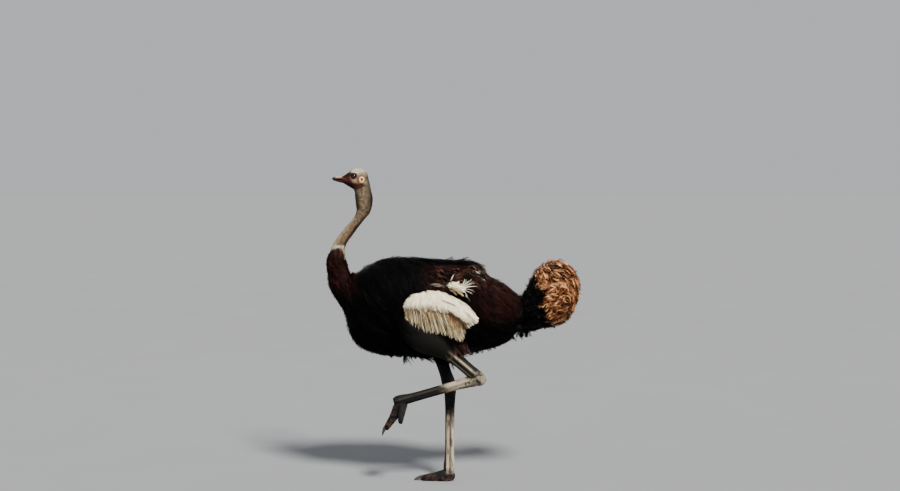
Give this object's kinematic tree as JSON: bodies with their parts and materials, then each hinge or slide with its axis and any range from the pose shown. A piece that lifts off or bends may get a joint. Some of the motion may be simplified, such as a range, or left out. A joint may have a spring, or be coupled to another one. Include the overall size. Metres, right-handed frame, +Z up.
{
  "type": "male ostrich",
  "caption": "Adult male ostrich walking, life size: it stands on its right leg with the left one raised, its neck in an S and its tail plumes up.",
  "frame": {"origin": "on the floor, under the sole of the standing (right) foot's big toe", "axes": "+Z up; the bird faces -X; its left side, with the raised leg, is -Y"},
  "size_m": [1.4681, 0.5858, 1.8371],
  "materials": {
    "skin": "bare skin with short hair-like down",
    "ear": "pale bare skin round the ear",
    "bill": "smooth horn",
    "eye": "wet and glossy",
    "neck": "short sparse down over skin",
    "black_plumage": "loose soft plumes",
    "white_plumage": "loose soft plumes",
    "tail_plumage": "loose curly plumes",
    "leg": "bare skin, scaled below the ankle",
    "claw": "worn horn"
  },
  "bodies": {
    "root": {"head": "skin", "neck_upper": "neck", "neck_middle": "neck", "neck_lower": "black_plumage", "trunk": "black_plumage", "tail": "tail_plumage", "bill_upper": "bill", "bill_lower": "bill", "eye_l": "eye", "eye_r": "eye", "ear_l": "ear", "ear_r": "ear", "wing_l": "white_plumage", "wing_r": "white_plumage", "wing_fringe_l": "white_plumage", "wing_fringe_r": "white_plumage", "thigh_l": "leg", "thigh_r": "leg", "shank_l": "leg", "shank_r": "leg", "tarsus_l": "leg", "tarsus_r": "leg", "toe_big_l": "leg", "toe_big_r": "leg", "toe_small_l": "leg", "toe_small_r": "leg", "claw_l": "claw", "claw_r": "claw"}
  },
  "joints": []
}
